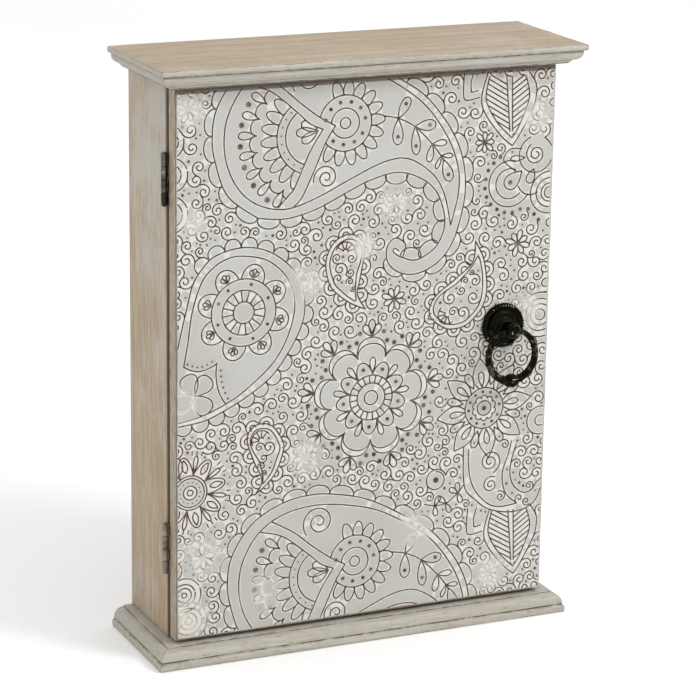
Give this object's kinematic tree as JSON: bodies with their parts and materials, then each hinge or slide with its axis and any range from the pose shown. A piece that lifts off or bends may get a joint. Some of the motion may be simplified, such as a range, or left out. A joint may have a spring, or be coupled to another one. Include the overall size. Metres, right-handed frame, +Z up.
{
  "type": "key cabinet",
  "caption": "Small wooden key cabinet with moulded crown and plinth, a carved overlay door on butt hinges, a ring pull, and hook rails inside.",
  "frame": {"origin": "centre of the plinth's underside", "axes": "+Z up, the carved door faces -Y, the hinges are on the -X side"},
  "size_m": [0.24, 0.0826, 0.32],
  "materials": {
    "carved_door": "pale grey-cream paint over fine carved lines rubbed with brown, matt",
    "whitewashed_trim": "whitewashed grey-cream paint worn back along the arrises, matt",
    "side_wood": "tan wood with a thin streaky whitewash, matt",
    "back_board": "thin brown-faced board, matt",
    "inner_wood": "plain pale wood, matt",
    "dark_bronze": "dark antique bronze, semi-gloss with rubbed highs",
    "hinge_nickel": "aged nickel plate",
    "hook_brass": "bright drawn brass wire",
    "zinc_steel": "zinc-plated steel",
    "white_plastic": "moulded white plastic",
    "ferrite": "dark grey sintered magnet",
    "bumper_rubber": "milky soft plastic"
  },
  "bodies": {
    "carcass": {"crown_board": "whitewashed_trim", "plinth_board": "whitewashed_trim", "side_board_left": "side_wood", "side_board_right": "side_wood", "back_panel": "back_board", "plinth_screw_left_front": "zinc_steel", "plinth_screw_left_rear": "zinc_steel", "plinth_screw_right_front": "zinc_steel", "plinth_screw_right_rear": "zinc_steel", "crown_dowel_left_front": "inner_wood", "crown_dowel_left_rear": "inner_wood", "crown_dowel_right_front": "inner_wood", "crown_dowel_right_rear": "inner_wood", "hook_rail_upper": "inner_wood", "hook_rail_lower": "inner_wood", "key_hook_upper_1": "hook_brass", "key_hook_upper_2": "hook_brass", "key_hook_upper_3": "hook_brass", "key_hook_lower_1": "hook_brass", "key_hook_lower_2": "hook_brass", "key_hook_lower_3": "hook_brass", "catch_case": "white_plastic", "catch_magnet": "ferrite", "catch_pole_inner": "zinc_steel", "catch_pole_outer": "zinc_steel", "catch_screw_lower": "zinc_steel", "catch_screw_upper": "zinc_steel", "hanger_left": "zinc_steel", "hanger_right": "zinc_steel", "hanger_left_screw_lower": "zinc_steel", "hanger_left_screw_upper": "zinc_steel", "hanger_right_screw_lower": "zinc_steel", "hanger_right_screw_upper": "zinc_steel", "hinge_upper_frame_leaf": "hinge_nickel", "hinge_upper_pin": "hinge_nickel", "hinge_lower_frame_leaf": "hinge_nickel", "hinge_lower_pin": "hinge_nickel", "hinge_upper_frame_screw_1": "hinge_nickel", "hinge_upper_frame_screw_2": "hinge_nickel", "hinge_lower_frame_screw_1": "hinge_nickel", "hinge_lower_frame_screw_2": "hinge_nickel"},
    "door": {"door_panel": "carved_door", "hinge_upper_door_leaf": "hinge_nickel", "hinge_lower_door_leaf": "hinge_nickel", "hinge_upper_door_screw_1": "hinge_nickel", "hinge_upper_door_screw_2": "hinge_nickel", "hinge_lower_door_screw_1": "hinge_nickel", "hinge_lower_door_screw_2": "hinge_nickel", "pull_rosette": "dark_bronze", "pull_post": "dark_bronze", "pull_washer": "zinc_steel", "pull_nut": "zinc_steel", "strike_plate": "zinc_steel", "strike_screw": "zinc_steel", "door_bumper_lower": "bumper_rubber", "door_bumper_upper": "bumper_rubber"},
    "ring": {"pull_ring": "dark_bronze"}
  },
  "joints": [
    {"name": "door_hinge", "type": "hinge", "parent": "carcass", "child": "door", "pos_m": [-0.1101, -0.019, 0.16], "axis": [0, 0, -1], "range_deg": [0, 180]},
    {"name": "ring_swing", "type": "hinge", "parent": "door", "child": "ring", "pos_m": [0.08, -0.0415, 0.1675], "axis": [-1, 0, 0], "range_deg": [-14, 150]}
  ]
}
